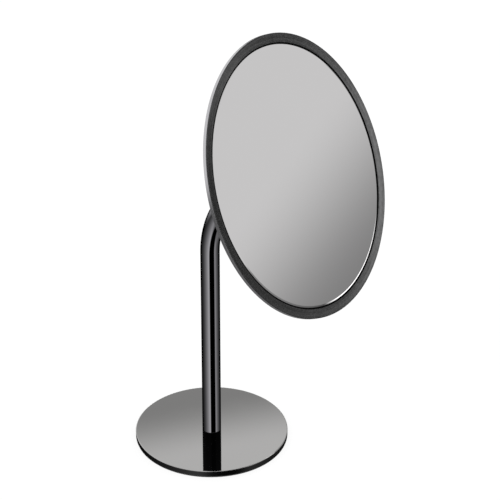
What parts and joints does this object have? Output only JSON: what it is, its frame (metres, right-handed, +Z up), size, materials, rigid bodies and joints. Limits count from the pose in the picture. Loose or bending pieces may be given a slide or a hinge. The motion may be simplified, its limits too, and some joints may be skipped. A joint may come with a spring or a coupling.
{
  "type": "tabletop shaving mirror",
  "caption": "Round framed shaving mirror on a ball joint, held by one bent tube on a flat round weighted base.",
  "frame": {"origin": "centre of the underside of the base pad, on the post's axis", "axes": "+Z up along the post, -Y the way the tube bends and the mirror faces, +X to the right as seen by a user in front of the mirror, looking along +Y"},
  "size_m": [0.2254, 0.1955, 0.3763],
  "materials": {
    "black_chrome": "polished",
    "ring_metal": "satin",
    "shell_metal": "polished",
    "mirror": "polished",
    "pad_rubber": "matte",
    "gasket_rubber": "matte",
    "zinc_steel": "satin",
    "spring_steel": "satin",
    "seat_nylon": "matte",
    "washer_plastic": "matte",
    "backing_aluminium": "satin",
    "foam_tape": "matte"
  },
  "bodies": {
    "stand": {"base_pad": "pad_rubber", "base_plate": "black_chrome", "base_screw": "zinc_steel", "locating_pin": "zinc_steel", "foot_washer": "washer_plastic", "foot_plug": "zinc_steel", "post_tube": "black_chrome", "end_plug": "zinc_steel", "neck_collar": "black_chrome", "stud_washer": "zinc_steel", "ball_stud": "black_chrome"},
    "rear_seat": {"rear_seat": "seat_nylon"},
    "front_seat": {"front_seat": "seat_nylon"},
    "head": {"disc_spring": "spring_steel", "socket_cap": "black_chrome", "socket_housing": "black_chrome", "screw_spacers": "zinc_steel", "socket_screws": "zinc_steel", "back_shell": "shell_metal", "weld_nuts": "zinc_steel", "backing_plate": "backing_aluminium", "front_ring": "ring_metal", "ring_screws": "zinc_steel", "adhesive_ring": "foam_tape", "centre_pad": "foam_tape", "glass_gasket": "gasket_rubber", "mirror_glass": "mirror"}
  },
  "joints": [
    {"name": "head_pan", "type": "hinge", "parent": "stand", "child": "rear_seat", "pos_m": [0, -0.06889, 0.26627], "axis": [0, 0, 1], "range_deg": [-20, 20]},
    {"name": "head_tilt", "type": "hinge", "parent": "rear_seat", "child": "front_seat", "pos_m": [0, -0.06889, 0.26627], "axis": [-1, 0, 0], "range_deg": [-20, 20]},
    {"name": "head_spin", "type": "hinge", "parent": "front_seat", "child": "head", "pos_m": [0, -0.06889, 0.26627], "axis": [0, -0.9143, 0.4051], "continuous": true}
  ]
}
